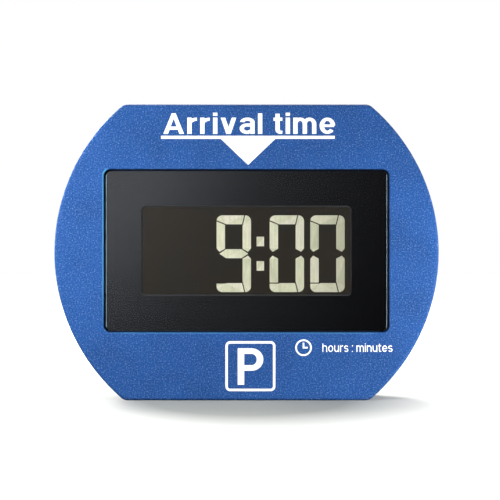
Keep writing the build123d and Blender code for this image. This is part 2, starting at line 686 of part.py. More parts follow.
def positive_contact():
    """A U-shaped clip between the cells, a leg against the side of each can."""
    outer = CELL_X - CELL_RADIUS - CONTACT_GAP
    inner = outer - CLIP_SHEET
    foot = BOARD_BACK_Y
    top = foot + CLIP_HEIGHT
    floor = foot + CLIP_SHEET
    shape = [
        (-outer, foot), (outer, foot), (outer, top), (inner, top),
        (inner, floor), (-inner, floor), (-inner, top), (-outer, top),
    ]
    return profile_along_z(shape, CELL_Z, CLIP_WIDTH)


# ---------------------------------------------------------------- write every sub-part
save("front_housing", front_housing())
save("rear_housing", rear_housing())
save("battery_door", battery_door())
save("housing_screws", housing_screws())
save("window_lens", window_lens())
save("lens_mask", lens_mask())
save("lens_tape", lens_tape())
save("lcd_carrier", lcd_carrier())
save("lcd_front_polarizer", lcd_front_polarizer())
save("lcd_front_glass", lcd_front_glass())
save("lcd_segments_on", segment_solids(True))
save("lcd_segments_off", segment_solids(False))
save("lcd_seal", lcd_seal())
save("lcd_rear_glass", lcd_rear_glass())
save("lcd_reflector", lcd_reflector())
save("zebra_strip_upper", zebra_strip(1))
save("zebra_strip_lower", zebra_strip(-1))
save("main_pcb", main_pcb())
save("pcb_screws", pcb_screws())
save("controller_ic", controller_ic())
save("controller_leads", controller_leads())
save("quartz_crystal", quartz_crystal())
save("motion_sensor", motion_sensor())
save("buffer_capacitor", buffer_capacitor())
save("chip_capacitors", chip_row(1))
save("chip_resistors", chip_row(-1))
for name, side in (("set", -1), ("adjust", 1)):
    save(f"{name}_button", button(side))
    save(f"{name}_switch_body", switch_body(side))
    save(f"{name}_switch_plunger", switch_plunger(side))
for number, side in ((1, -1), (2, 1)):
    save(f"coin_cell_can_{number}", coin_cell_can(side))
    save(f"coin_cell_gasket_{number}", coin_cell_gasket(side))
    save(f"coin_cell_cap_{number}", coin_cell_cap(side))
    save(f"coin_cell_electrodes_{number}", coin_cell_electrodes(side))
    save(f"negative_contact_{number}", negative_contact(side))
save("positive_contact", positive_contact())
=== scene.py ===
"""Looks for the electronic parking disc: materials, white print, light, floor and camera."""

from collections import Counter
import json
import math

import bmesh
import bpy
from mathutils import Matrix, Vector
from mathutils.geometry import delaunay_2d_cdt


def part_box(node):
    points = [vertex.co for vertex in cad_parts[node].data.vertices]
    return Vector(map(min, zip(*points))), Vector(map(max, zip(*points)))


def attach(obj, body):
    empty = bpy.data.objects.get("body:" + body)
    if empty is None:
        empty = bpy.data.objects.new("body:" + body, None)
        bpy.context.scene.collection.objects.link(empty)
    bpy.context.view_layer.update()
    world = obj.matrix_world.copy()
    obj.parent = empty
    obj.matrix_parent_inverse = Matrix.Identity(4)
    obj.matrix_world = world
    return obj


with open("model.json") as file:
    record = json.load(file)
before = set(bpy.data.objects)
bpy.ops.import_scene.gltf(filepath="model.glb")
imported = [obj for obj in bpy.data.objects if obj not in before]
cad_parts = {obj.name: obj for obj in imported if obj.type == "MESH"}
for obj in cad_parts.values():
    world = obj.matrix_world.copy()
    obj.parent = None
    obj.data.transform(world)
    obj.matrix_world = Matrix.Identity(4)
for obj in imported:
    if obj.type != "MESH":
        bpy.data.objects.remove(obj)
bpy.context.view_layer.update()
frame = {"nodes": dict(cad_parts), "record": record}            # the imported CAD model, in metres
nodes = frame["nodes"]

MM = 0.001
CASE = "case"

# ------------------------------------------------------------------ places taken from the frame
case_low, case_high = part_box("front_housing")
lens_low, lens_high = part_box("window_lens")
door_low, door_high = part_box("battery_door")
FRONT_Y = case_low.y
REAR_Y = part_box("rear_housing")[1].y
MID_Z = (case_low.z + case_high.z) / 2


# ------------------------------------------------------------------ colours
WHITE = (1, 1, 1, 1)


def srgb(red, green, blue):
    """An 8-bit screen colour as linear RGBA."""
    def linear(value):
        share = value / 255
        return share / 12.92 if share <= 0.04045 else ((share + 0.055) / 1.055) ** 2.4
    return (linear(red), linear(green), linear(blue), 1.0)


def grey(level):
    return (level, level, level, 1)


def toned(colour, share, lift=0.0):
    """A colour made darker, with a share below 1, or lighter."""
    return tuple(min(1.0, channel * share + lift) for channel in colour[:3]) + (1.0,)


# ------------------------------------------------------------------ node trees
class Nodes:
    """An emptied node tree and short ways to add nodes to it."""

    def __init__(self, tree, coordinates):
        self.tree = tree
        self.tree.nodes.clear()
        self.place = self.add("ShaderNodeTexCoord").outputs[coordinates]

    def add(self, kind, **settings):
        node = self.tree.nodes.new(kind)
        for key, value in settings.items():
            setattr(node, key, value)
        return node

    def link(self, source, target):
        self.tree.links.new(source, target)

    def feed(self, target, value):
        """Give an input a link, if the value is a socket, or else a fixed value."""
        if isinstance(value, bpy.types.NodeSocket):
            self.link(value, target)
        else:
            target.default_value = value

    def axes(self, vector):
        """A vector's X, Y and Z, as sockets by name."""
        node = self.add("ShaderNodeSeparateXYZ")
        self.link(vector, node.inputs["Vector"])
        return node.outputs

    def maths(self, operation, first, second=0.0):
        node = self.add("ShaderNodeMath", operation=operation)
        self.feed(node.inputs[0], first)
        self.feed(node.inputs[1], second)
        return node.outputs["Value"]

    def vector_maths(self, operation, *vectors):
        """The outputs of a vector sum: Vector for a vector, Value for a number."""
        node = self.add("ShaderNodeVectorMath", operation=operation)
        for target, vector in zip(node.inputs, vectors):
            self.feed(target, vector)
        return node.outputs

    def range(self, factor, low, high, from_low=0.0, from_high=1.0):
        """Carry a factor over from one range to another; past its ends it is held."""
        node = self.add("ShaderNodeMapRange")
        for name, value in (("Value", factor), ("From Min", from_low), ("From Max", from_high),
                            ("To Min", low), ("To Max", high)):
            self.feed(node.inputs[name], value)
        return node.outputs["Result"]

    def ramp(self, factor, *stops):
        """A colour ramp; each stop is (position, colour)."""
        ramp = self.add("ShaderNodeValToRGB")
        elements = ramp.color_ramp.elements
        while len(elements) < len(stops):
            elements.new(1.0)
        for element, (position, colour) in zip(elements, stops):
            element.position = position
            element.color = colour
        self.link(factor, ramp.inputs["Fac"])
        return ramp.outputs["Color"]

    def mix(self, factor, first, second, mode="MIX"):
        """Blend two colours; each is a socket or a fixed colour."""
        node = self.add("ShaderNodeMix", data_type="RGBA", blend_type=mode)
        for name, value in (("Factor", factor), ("A", first), ("B", second)):
            self.feed(node.inputs[name], value)
        return node.outputs["Result"]

    def blend(self, factor, first, second):
        """Blend two shaders by a factor socket."""
        node = self.add("ShaderNodeMixShader")
        for target, source in zip(node.inputs, (factor, first, second)):
            self.link(source, target)
        return node.outputs["Shader"]


class Shader(Nodes):
    """A material with a Principled shader and short ways to set it."""

    def __init__(self, name):
        self.material = bpy.data.materials.new(name)
        self.material.use_nodes = True
        super().__init__(self.material.node_tree, "Object")
        self.output = self.add("ShaderNodeOutputMaterial")
        self.surface = self.add("ShaderNodeBsdfPrincipled")
        self.link(self.surface.outputs["BSDF"], self.output.inputs["Surface"])

    def set(self, **values):
        """Set the Principled shader's own sockets; underscores stand for spaces."""
        for key, value in values.items():
            self.surface.inputs[key.replace("_", " ")].default_value = value
        return self

    def drive(self, **sockets):
        """Link sockets to the Principled shader's inputs; underscores stand for spaces."""
        for key, socket in sockets.items():
            self.link(socket, self.surface.inputs[key.replace("_", " ")])
        return self

    def noise(self, size, detail=2.0, roughness=0.5, stretch=(1, 1, 1)):
        """Noise with features about size metres across; returns its 0 to 1 factor."""
        mapping = self.add("ShaderNodeMapping")
        mapping.inputs["Scale"].default_value = stretch
        self.link(self.place, mapping.inputs["Vector"])
        texture = self.add("ShaderNodeTexNoise")
        texture.inputs["Scale"].default_value = 1 / size
        texture.inputs["Detail"].default_value = detail
        texture.inputs["Roughness"].default_value = roughness
        self.link(mapping.outputs["Vector"], texture.inputs["Vector"])
        return texture.outputs["Fac"]

    def edges(self, radius):
        """How sharply the surface turns nearby, from 0 to 1, and the normal with its edges softened."""
        sharp, flat_enough = 0.8, 0.985        # the two normals' dot product at 1 and at 0
        soft = self.add("ShaderNodeBevel", samples=6)
        soft.inputs["Radius"].default_value = radius
        flat = self.add("ShaderNodeNewGeometry").outputs["Normal"]
        turn = self.vector_maths("DOT_PRODUCT", soft.outputs["Normal"], flat)["Value"]
        return self.range(turn, 1.0, 0.0, sharp, flat_enough), soft.outputs["Normal"]

    def bump(self, height, depth, strength, under=None):
        node = self.add("ShaderNodeBump")
        node.inputs["Distance"].default_value = depth
        node.inputs["Strength"].default_value = strength
        self.link(height, node.inputs["Height"])
        if under is not None:
            self.link(under, node.inputs["Normal"])
        return node.outputs["Normal"]


# ------------------------------------------------------------------ materials
# A painted highlight for the window opening's lips, and painted shade for its gap.
LIP_PAINTED_GLINT = srgb(68, 134, 178)
GAP_PAINTED_SHADE = (0.004, 0.006, 0.012, 1)


def grained_plastic(name, base, sparkle_and_wear, sparkle_share, glint_and_shade=None):
    """Moulded plastic with a fine spark-eroded grain whose peaks are painted paler, a painted sparkle, worn
    paler along edges.
    """
    grain_size, ripple_size, wear_size, cloud_size = 0.36 * MM, 1.1 * MM, 1.6 * MM, 9 * MM
    grain_depth, edge_radius = 0.05 * MM, 0.25 * MM
    shader = Shader(name)
    grain = shader.noise(grain_size, detail=3.0, roughness=0.7)
    clouds = shader.noise(cloud_size, detail=3.0)
    wear = shader.noise(wear_size, detail=3.0)
    ripple = shader.noise(ripple_size)
    worn, soft = shader.edges(edge_radius)
    tone = shader.ramp(clouds, (0.3, toned(base, 0.88)), (0.7, toned(base, 1.1)))
    pits = shader.range(grain, 0.8, 0.0, 0.3, 0.46)
    tone = shader.mix(pits, tone, toned(base, 0.5))
    # painted sparkle: the grain's peaks take the paler colour, which worn edges share
    sparkle_tips = shader.range(grain, 0.0, sparkle_share, 0.53, 0.68)
    tone = shader.mix(sparkle_tips, tone, sparkle_and_wear)
    rub = shader.maths("MULTIPLY", worn, shader.range(wear, 0.05, 0.5, 0.42, 0.62))
    tone = shader.mix(rub, tone, sparkle_and_wear)
    # paint a highlight on the window opening's lips and shade into its gap
    if glint_and_shade is not None:
        lip, gap = glint_and_shade(shader)
        tone = shader.mix(lip, tone, LIP_PAINTED_GLINT)
        tone = shader.mix(gap, tone, GAP_PAINTED_SHADE)
    rough = shader.mix(rub, shader.range(grain, 0.68, 0.5), grey(0.38))
    fine = shader.bump(grain, grain_depth, 0.6, soft)
    shader.drive(Base_Color=tone, Roughness=rough, Normal=shader.bump(ripple, grain_depth, 0.3, fine))
    return shader.set(Specular_IOR_Level=0.3).material


def window_glint_and_shade(shader):
    """How much of each place takes the painted highlight of the window opening's lip, and how much the
    painted shade of its gap.
    """
    opening, bend = 0.45 * MM, 1.5 * MM          # from the lens's edge to the opening's, and its corners
    lip_width, painted_fade = 0.22 * MM, 6 * MM
    left_foot, lower_share = 0.15, 0.35          # how much of the lip shows at the left's foot, and below
    gap_top, gap_full, gap_share = 0.12 * MM, 0.5 * MM, 0.9
    axes = shader.axes(shader.place)
    past, sides = [], []
    for axis, low, high in (("X", lens_low.x, lens_high.x), ("Z", lens_low.z, lens_high.z)):
        offset = shader.maths("SUBTRACT", axes[axis], (low + high) / 2)
        half = (high - low) / 2 + opening
        inside = shader.maths("SUBTRACT", shader.maths("ABSOLUTE", offset), half - bend)
        past.append(shader.maths("POWER", shader.maths("MAXIMUM", inside, 0.0), 2.0))
        sides.append((offset, half))
    reach = shader.maths("SQRT", shader.maths("ADD", *past))
    outline = shader.maths("SUBTRACT", reach, bend)
    near = shader.range(outline, 1.0, 0.0, lip_width, 1.4 * lip_width)
    (across, half_wide), (up, half_high) = sides
    left = shader.maths(
        "MULTIPLY", shader.range(across, 1.0, 0.0, -half_wide + bend / 4, -half_wide + bend),
        shader.range(up, left_foot, 1.0, -half_high + bend, -half_high + 2 * painted_fade))
    lower = shader.maths(
        "MULTIPLY", shader.range(up, lower_share, 0.0, -half_high + bend / 4, -half_high + bend),
        shader.range(shader.maths("ABSOLUTE", across), 1.0, 0.0, half_wide - painted_fade, half_wide - bend))
    face = shader.range(axes["Y"], 1.0, 0.0, FRONT_Y + lip_width / 2, FRONT_Y + lip_width)
    lip = shader.maths("MULTIPLY", shader.maths("MAXIMUM", left, lower), face)
    # painted shade in the opening's gap, below the front face
    gap = shader.range(axes["Y"], 0.0, gap_share, FRONT_Y + gap_top, FRONT_Y + gap_full)
    return shader.maths("MULTIPLY", lip, near), shader.maths("MULTIPLY", gap, near)


def satin_plastic(name, base, rough):
    """Smooth moulded plastic, a little clouded, with paler edges."""
    variation = 0.18
    shader = Shader(name)
    clouds = shader.noise(2.2 * MM, detail=4.0)
    skin = shader.noise(0.25 * MM)
    worn, soft = shader.edges(0.12 * MM)
    tone = shader.ramp(clouds, (0.3, toned(base, 1 - variation)), (0.7, toned(base, 1 + variation)))
    tone = shader.mix(shader.maths("MULTIPLY", worn, 0.5), tone, toned(base, 1.5, 0.01))
    shader.drive(Base_Color=tone, Roughness=shader.range(clouds, rough - 0.06, rough + 0.08),
                 Normal=shader.bump(skin, 0.02 * MM, 0.3, soft))
    return shader.material


def metal(name, base, rough, stretch=(1, 1, 12)):
    """Plated metal with a fine drawn grain and brighter rubbed edges."""
    shader = Shader(name)
    grain = shader.noise(0.6 * MM, detail=4.0, stretch=stretch)
    tarnish = shader.noise(3.5 * MM, detail=3.0)
    worn, soft = shader.edges(0.1 * MM)
    tone = shader.ramp(grain, (0.25, toned(base, 0.8)), (0.75, base))
    tone = shader.mix(shader.range(tarnish, 0.0, 0.5, 0.5, 0.8), tone, toned(base, 0.72))
    tone = shader.mix(shader.maths("MULTIPLY", worn, 0.6), tone, base)
    shader.drive(Base_Color=tone, Roughness=shader.range(grain, rough - 0.07, rough + 0.12),
                 Normal=shader.bump(grain, 0.01 * MM, 0.35, soft))
    return shader.set(Metallic=1.0).material


def clear_sheet(name, tint, gloss_ior, rough, smudge, painted_edge_glint=None):
    """A clear sheet that lets light through to what lies behind it, with a Fresnel gloss.

    painted_edge_glint is the colour painted on its left and right edges only, a painted highlight where they
    show beside the front face.
    """
    shader = Shader(name)
    shader.tree.nodes.remove(shader.surface)
    through = shader.add("ShaderNodeBsdfTransparent")
    through.inputs["Color"].default_value = tint
    gloss = shader.add("ShaderNodeBsdfGlossy")
    haze = shader.noise(7 * MM, detail=4.0)
    shader.link(shader.range(haze, rough, rough + smudge), gloss.inputs["Roughness"])
    fresnel = shader.add("ShaderNodeFresnel")
    fresnel.inputs["IOR"].default_value = gloss_ior
    surface = shader.blend(fresnel.outputs["Fac"], through.outputs["BSDF"], gloss.outputs["BSDF"])
    if painted_edge_glint is not None:
        edge_full, edge_end = 0.12 * MM, 0.2 * MM        # how deep the painted edge highlight shows
        facing = shader.axes(shader.add("ShaderNodeTexCoord").outputs["Normal"])["X"]
        sideways = shader.range(shader.maths("ABSOLUTE", facing), 0.0, 0.8, 0.6, 0.8)
        depth = shader.axes(shader.place)["Y"]
        shallow = shader.range(depth, 1.0, 0.0, lens_low.y + edge_full, lens_low.y + edge_end)
        # a pale colour on the sideways-facing edges only, a painted highlight
        edge_highlight = shader.add("ShaderNodeBsdfDiffuse")
        streak = shader.noise(0.5 * MM, detail=3.0, stretch=(1, 1, 0.2))
        shader.link(shader.ramp(streak, (0.3, toned(painted_edge_glint, 0.7)), (0.6, painted_edge_glint)), edge_highlight.inputs["Color"])
        surface = shader.blend(shader.maths("MULTIPLY", sideways, shallow), surface, edge_highlight.outputs["BSDF"])
    shader.link(surface, shader.output.inputs["Surface"])
    return shader.material


def glossy_mask(name):
    """Black print behind the window: deep and glossy, with the slightest haze."""
    shader = Shader(name)
    haze = shader.noise(6 * MM, detail=4.0)
    tone = shader.ramp(haze, (0.3, (0.0005, 0.0005, 0.0006, 1)), (0.7, (0.0009, 0.0009, 0.001, 1)))
    shader.drive(Base_Color=tone, Roughness=shader.range(haze, 0.1, 0.14))
    return shader.set(IOR=1.5).material


def painted_glow_segment(name):
    """Cream segments, each a little different, darkened towards the right by a painted shade and lifted by a
    faint painted glow.
    """
    fade_start, fade_end = lens_low.x * 0.3, lens_high.x * 0.75
    shader = Shader(name)
    each = shader.add("ShaderNodeNewGeometry").outputs["Random Per Island"]
    tone = shader.ramp(
        each, (0.0, srgb(214, 216, 192)), (0.35, srgb(231, 233, 208)),
        (0.7, srgb(243, 243, 223)), (1.0, srgb(247, 243, 232)))
    soft = shader.noise(3.2 * MM)
    clouds = shader.ramp(soft, (0.3, (0.88, 0.88, 0.87, 1)), (0.7, WHITE))
    brushed = shader.noise(0.45 * MM, stretch=(1, 1, 0.12))
    streaks = shader.ramp(brushed, (0.35, (0.86, 0.86, 0.84, 1)), (0.65, WHITE))
    shade = shader.mix(1.0, clouds, streaks, "MULTIPLY")
    # painted shade: the segments grow darker towards the right
    along = shader.range(shader.axes(shader.place)["X"], 0.0, 1.0, fade_start, fade_end)
    painted_fade = shader.ramp(along, (0.0, WHITE), (0.6, grey(0.86)), (1.0, (0.5, 0.49, 0.49, 1)))
    shade = shader.mix(1.0, shade, painted_fade, "MULTIPLY")
    tone = shader.mix(1.0, tone, shade, "MULTIPLY")
    shader.drive(Base_Color=tone, Roughness=shader.range(soft, 0.5, 0.62))
    # a faint painted glow: the segments give off light, though they are no lamp
    shader.set(Emission_Color=srgb(234, 237, 214), Emission_Strength=0.24)
    return shader.set(Specular_IOR_Level=0.1).material


def dark_field(name, base):
    """The display's dark ground, in places a little warmer."""
    shader = Shader(name)
    clouds = shader.noise(14 * MM)
    warm = tuple(channel * ratio for channel, ratio in zip(base[:3], (1.08, 0.98, 0.9))) + (1.0,)
    shader.drive(Base_Color=shader.ramp(clouds, (0.35, base), (0.65, warm)),
                 Roughness=shader.range(clouds, 0.55, 0.65))
    return shader.set(Specular_IOR_Level=0.05).material


def ink(name, base):
    """Screen-printed ink with a slight mottle."""
    shader = Shader(name)
    mottle = shader.noise(0.5 * MM, detail=3.0)
    shader.drive(Base_Color=shader.ramp(mottle, (0.35, toned(base, 0.93)), (0.6, base)),
                 Roughness=shader.range(mottle, 0.42, 0.55),
                 Normal=shader.bump(mottle, 0.012 * MM, 0.3))
    return shader.set(Specular_IOR_Level=0.3).material


def board_mask(name):
    """Green solder mask over glass weave."""
    weave_pitch, weave_share = 0.8 * MM, 0.015
    shader = Shader(name)
    weave = shader.add("ShaderNodeTexChecker")
    weave.inputs["Scale"].default_value = 1 / weave_pitch
    shader.link(shader.place, weave.inputs["Vector"])
    blotch = shader.noise(5 * MM, detail=3.0)
    base = shader.ramp(blotch, (0.3, srgb(8, 40, 25)), (0.7, srgb(12, 54, 33)))
    shader.drive(Base_Color=shader.mix(weave_share, base, weave.outputs["Color"]),
                 Roughness=shader.range(blotch, 0.25, 0.4))
    return shader.material


def layered_rubber(name):
    """Elastomer connector: dark and pale layers side by side."""
    layer_pitch = 1.2 * MM
    shader = Shader(name)
    wave = shader.add("ShaderNodeTexWave", bands_direction="X")
    wave.inputs["Scale"].default_value = 1 / layer_pitch
    shader.link(shader.place, wave.inputs["Vector"])
    layers = shader.ramp(wave.outputs["Color"], (0.45, srgb(35, 33, 33)), (0.55, srgb(190, 120, 125)))
    return shader.drive(Base_Color=layers).set(Roughness=0.7).material


SLOT_LOOKS = {         # the function that makes each slot's material, and what it takes after the name
    # the blue shell also takes the painted lip highlight and gap shade of the window opening
    "shell_blue": (grained_plastic, srgb(29, 71, 131), srgb(113, 139, 187), 0.75, window_glint_and_shade),
    "shell_black": (grained_plastic, srgb(38, 39, 42), srgb(84, 86, 90), 0.5),
    # the lens's last colour is the painted highlight on its left and right edges
    "lens_clear": (clear_sheet, (0.99, 0.995, 0.995, 1), 1.16, 0.1, 0.03, srgb(150, 176, 192)),
    "mask_black": (glossy_mask,),
    "tape_black": (satin_plastic, srgb(30, 30, 30), 0.8),
    "carrier_black": (satin_plastic, srgb(62, 63, 66), 0.38),
    "polarizer_film": (clear_sheet, (0.97, 0.965, 0.95, 1), 1.05, 0.2, 0.1),
    "lcd_glass": (clear_sheet, (0.99, 0.99, 0.985, 1), 1.05, 0.1, 0.05),
    "segment_lit": (painted_glow_segment,),
    "segment_dark": (dark_field, srgb(52, 50, 48)),
    "cell_seal": (satin_plastic, srgb(60, 60, 56), 0.5),
    "reflector_film": (dark_field, srgb(52, 50, 48)),
    "zebra_rubber": (layered_rubber,),
    "board_green": (board_mask,),
    "screw_steel": (metal, srgb(172, 173, 176), 0.3),
    "chip_black": (satin_plastic, srgb(34, 34, 36), 0.5),
    "tinned": (metal, srgb(205, 206, 208), 0.25),
    "sensor_can": (satin_plastic, srgb(205, 200, 188), 0.4),
    "capacitor_tan": (satin_plastic, srgb(176, 138, 92), 0.45),
    "resistor_black": (satin_plastic, srgb(40, 40, 42), 0.3),
    "button_grey": (grained_plastic, srgb(112, 116, 122), srgb(150, 154, 160), 0.3),
    "switch_black": (satin_plastic, srgb(36, 36, 38), 0.45),
    "switch_plunger": (satin_plastic, srgb(214, 208, 190), 0.45),
    "cell_steel": (metal, srgb(200, 201, 200), 0.22, (1, 1, 1)),
    "cell_gasket": (satin_plastic, srgb(190, 190, 184), 0.5),
    "cell_pack": (satin_plastic, srgb(40, 40, 42), 0.8),
    "contact_nickel": (metal, srgb(212, 202, 172), 0.25),
    "print_white": (ink, srgb(246, 249, 252)),
}
SLOT_MATERIALS = {slot: make(slot, *looks) for slot, (make, *looks) in SLOT_LOOKS.items()}
# The low side lights would throw the shadows of these pieces onto the display's ends.
SHADOWLESS = ("lcd_segments_on", "lcd_segments_off", "lens_mask", "lcd_carrier", "lcd_seal")


def dress_nodes():
    """Give every CAD node the material of its slot in the record."""
    for row in frame["record"]["subparts"]:
        node = nodes[row["node"]]
        node.data.materials.clear()
        node.data.materials.append(SLOT_MATERIALS[row["material_slot"]])
    for name in SHADOWLESS:
        nodes[name].visible_shadow = False


# ------------------------------------------------------------------ printed and moulded marks
PRINT_THICKNESS = 0.03 * MM
PRINT_SINK = 0.01 * MM      # the mark's underside, inside the surface that it is on
MERGE = 1e-5                # corners nearer than this, in mm, are one corner
MITRE_LIMIT = 0.3           # keeps the point of a sharp corner short


def arc(middle_x, middle_z, radius_x, radius_z, start, end, steps=20):
    """Points along part of an ellipse, angles in degrees."""
    points = []
    for index in range(steps + 1):
        angle = math.radians(start + (end - start) * index / steps)
        points.append((middle_x + radius_x * math.cos(angle), middle_z + radius_z * math.sin(angle)))
    return points


def rectangle(left, foot, right, top):
    return [(left, foot), (right, foot), (right, top), (left, top)]


def stroke(path, wide, high=None, closed=False):
    """Quads along a path, as a pen draws them: wide where it runs upright, high where it runs level."""
    pen = Vector((wide / 2, (wide if high is None else high) / 2))
    points = [Vector(point) for point in path]
    count = len(points)
    sides = []
    for index, point in enumerate(points):
        before = points[index - 1] if closed or index else None
        after = points[(index + 1) % count] if closed or index < count - 1 else None
        runs = [(b - a).normalized() for a, b in ((before, point), (point, after)) if a and b]
        along = sum(runs, Vector((0, 0))).normalized()
        reach = 1 / max(MITRE_LIMIT, along.dot(runs[0]))
        offset = Vector((-along.y * pen.x, along.x * pen.y)) * reach
        sides.append((point + offset, point - offset))
    quads = []
    for index in range(count if closed else count - 1):
        start, end = sides[index], sides[(index + 1) % count]
        quads.append([tuple(start[0]), tuple(start[1]), tuple(end[1]), tuple(end[0])])
    return quads


def united(shapes):
    """The corners, in mm, and the triangles of the union of some polygons."""
    corners, loops = [], []
    for shape in shapes:
        turned = list(zip(shape, shape[1:] + shape[:1]))
        area = sum(a[0] * b[1] - b[0] * a[1] for a, b in turned)
        loop = shape if area > 0 else shape[::-1]
        loops.append(list(range(len(corners), len(corners) + len(loop))))
        corners += [Vector(corner) / MM for corner in loop]
    places, _, triangles, _, _, sources = delaunay_2d_cdt(corners, [], loops, 1, MERGE)
    return places, [list(triangle) for triangle, source in zip(triangles, sources) if source]


def mark(name, shapes, x, z, y_face, slot, body=CASE, facing=-1, thickness=PRINT_THICKNESS):
    """A thin layer in the union of some (across, up) polygons, on a front (-1) or rear (1) face."""
    places, inside = united(shapes)
    layer = bmesh.new()
    sheets = []
    for y in (y_face - facing * PRINT_SINK, y_face + facing * thickness):
        corners = [(x - facing * across * MM, y, z + up * MM) for across, up in places]
        sheets.append([layer.verts.new(corner) for corner in corners])
    uses = Counter()
    for triangle in inside:
        uses.update(frozenset(pair) for pair in zip(triangle, triangle[1:] + triangle[:1]))
        for sheet in sheets:
            layer.faces.new([sheet[index] for index in triangle])
    inner, outer = sheets
    for edge, times in uses.items():
        if times == 1:
            start, end = edge
            layer.faces.new((inner[start], inner[end], outer[end], outer[start]))
    bmesh.ops.delete(layer, geom=[vert for vert in layer.verts if not vert.link_faces], context="VERTS")
    bmesh.ops.recalc_face_normals(layer, faces=layer.faces)
    mesh = bpy.data.meshes.new(name)
    layer.to_mesh(mesh)
    layer.free()
    piece = bpy.data.objects.new(name, mesh)
    bpy.context.scene.collection.objects.link(piece)
    mesh.materials.append(SLOT_MATERIALS[slot])
    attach(piece, body)


# Letters are drawn in units of the capital height.
X_HEIGHT = 0.79
DOT_TOP = 1.03
LETTER_GAP = 0.15
WORD_GAP = 0.36
LETTER_WIDTHS = {           # a letter that isn't here is as wide as the pen
    "A": 0.95, "a": 0.69, "e": 0.71, "h": 0.68, "m": 1.06, "n": 0.68,
    "o": 0.72, "r": 0.44, "s": 0.62, "t": 0.41, "u": 0.68, "v": 0.72,
}


def draw_letter(letter, wide, pen_w, pen_h):
    """The polygons of one letter this wide, for a pen this wide and high."""
    side, rise = pen_w / 2, pen_h / 2
    middle_x, middle_z = wide / 2, X_HEIGHT / 2
    spring = 0.6 * X_HEIGHT            # where an arch starts to bend
    root = spring - 0.05               # where it leaves its stem

    def line(*path):
        return stroke(path, pen_w, pen_h)

    def stem(x, top=X_HEIGHT):
        return [rectangle(x - side, 0, x + side, top)]

    def arch(left, right):
        middle, reach = (left + right) / 2, (right - left) / 2
        over = arc(middle, spring, reach, X_HEIGHT - rise - spring, 180, 0)
        return line((left, root), *over, (right, 0))

    def dot(z):
        return [rectangle(0, z - rise, pen_w, z + rise)]

    def mirrored(shape):
        return [(wide - x, z) for x, z in shape]

    if letter == "A":
        slanted, bar_in, bar_foot = pen_w * 1.07, 0.2, 0.2
        peak = slanted / 2 * 0.85
        left = [(0, 0), (slanted, 0), (middle_x + peak, 1), (middle_x - peak, 1)]
        return [left, mirrored(left), rectangle(bar_in, bar_foot, wide - bar_in, bar_foot + pen_h)]
    if letter == "v":
        slanted = pen_w * 1.05
        point = slanted / 2
        left = [(0, X_HEIGHT), (slanted, X_HEIGHT), (middle_x + point, 0), (middle_x - point, 0)]
        return [left, mirrored(left)]
    if letter == "l":
        return stem(side, 1.0)
    if letter == "i":
        return stem(side) + dot(DOT_TOP - rise)
    if letter == "r":
        over = arc(wide, spring, wide - side, X_HEIGHT - rise - spring, 180, 90)
        return stem(side) + line((side, root), *over)
    if letter in "nh":
        return stem(side, 1.0 if letter == "h" else X_HEIGHT) + arch(side, wide - side)
    if letter == "m":
        return stem(side) + arch(side, middle_x) + arch(middle_x, wide - side)
    if letter == "u":
        turned = [[(wide - x, X_HEIGHT - z) for x, z in shape] for shape in arch(side, wide - side)]
        return stem(wide - side) + turned
    if letter == "o":
        ring = arc(middle_x, middle_z, middle_x - side, middle_z - rise, 0, 360, 40)[:-1]
        return stroke(ring, pen_w, pen_h, closed=True)
    if letter == "e":
        bar_rise = rise * 0.8
        ring = arc(middle_x, middle_z, middle_x - side, middle_z - rise, 0, 322, 40)
        return line(*ring) + [rectangle(side, middle_z - bar_rise, wide - side / 2, middle_z + bar_rise)]
    if letter == "s":
        reach, half = middle_x - side, (X_HEIGHT - pen_h) / 4
        upper = arc(middle_x, X_HEIGHT - rise - half, reach, half, 25, 270)
        lower = arc(middle_x, rise + half, reach, half, 90, -155)
        return line(*upper, *lower[1:])
    if letter == "t":
        post, post_top, bend, bend_top = 0.09 + side, 0.98, 0.13, 0.2
        foot = arc(post + bend, bend_top, bend, bend_top - rise, 180, 270, 8)
        return line((post, post_top), *foot, (wide, rise)) + [rectangle(0, X_HEIGHT - pen_h, wide, X_HEIGHT)]
    if letter == "a":
        post, top, bowl_top, bowl_end, bowl_middle, set_in = wide - side, 0.57, 0.43, 0.17, 0.33, 0.02
        reach = (post - side - set_in) / 2
        over = arc(post - reach, top, reach, X_HEIGHT - rise - top, 180, 0)
        bowl = arc(bowl_middle, (bowl_top + rise) / 2, bowl_middle - side, (bowl_top - rise) / 2, 90, 292)
        return line(*over, (post, 0)) + line((post, bowl_top), *bowl, (post, bowl_end))
    return dot(rise) + dot(X_HEIGHT - rise)        # a colon


def lettering(words, width, height, pen_w, pen_h):
    """The polygons of some words, from (0, 0), fitted to a width and to the height of their capitals."""
    shapes, cursor, right = [], 0.0, 0.0
    for letter in words:
        if letter == " ":
            cursor += WORD_GAP
            continue
        wide = LETTER_WIDTHS.get(letter, pen_w)
        for shape in draw_letter(letter, wide, pen_w, pen_h):
            shapes.append([(cursor + x, z) for x, z in shape])
        right = cursor + wide
        cursor = right + LETTER_GAP
    return [[(x * width / right, z * height) for x, z in shape] for shape in shapes]


def clock_face(radius):
    """A plain clock: a ring and two hands."""
    line, up_hand, side_hand = radius * 0.2, radius * 0.6, radius * 0.5
    ring = arc(0, 0, radius - line / 2, radius - line / 2, 0, 360, 48)[:-1]
    shapes = stroke(ring, line, closed=True)
    shapes.append(rectangle(-line / 2, -line / 2, line / 2, up_hand))
    shapes.append(rectangle(-line / 2, -line / 2, side_hand, line / 2))
    return shapes


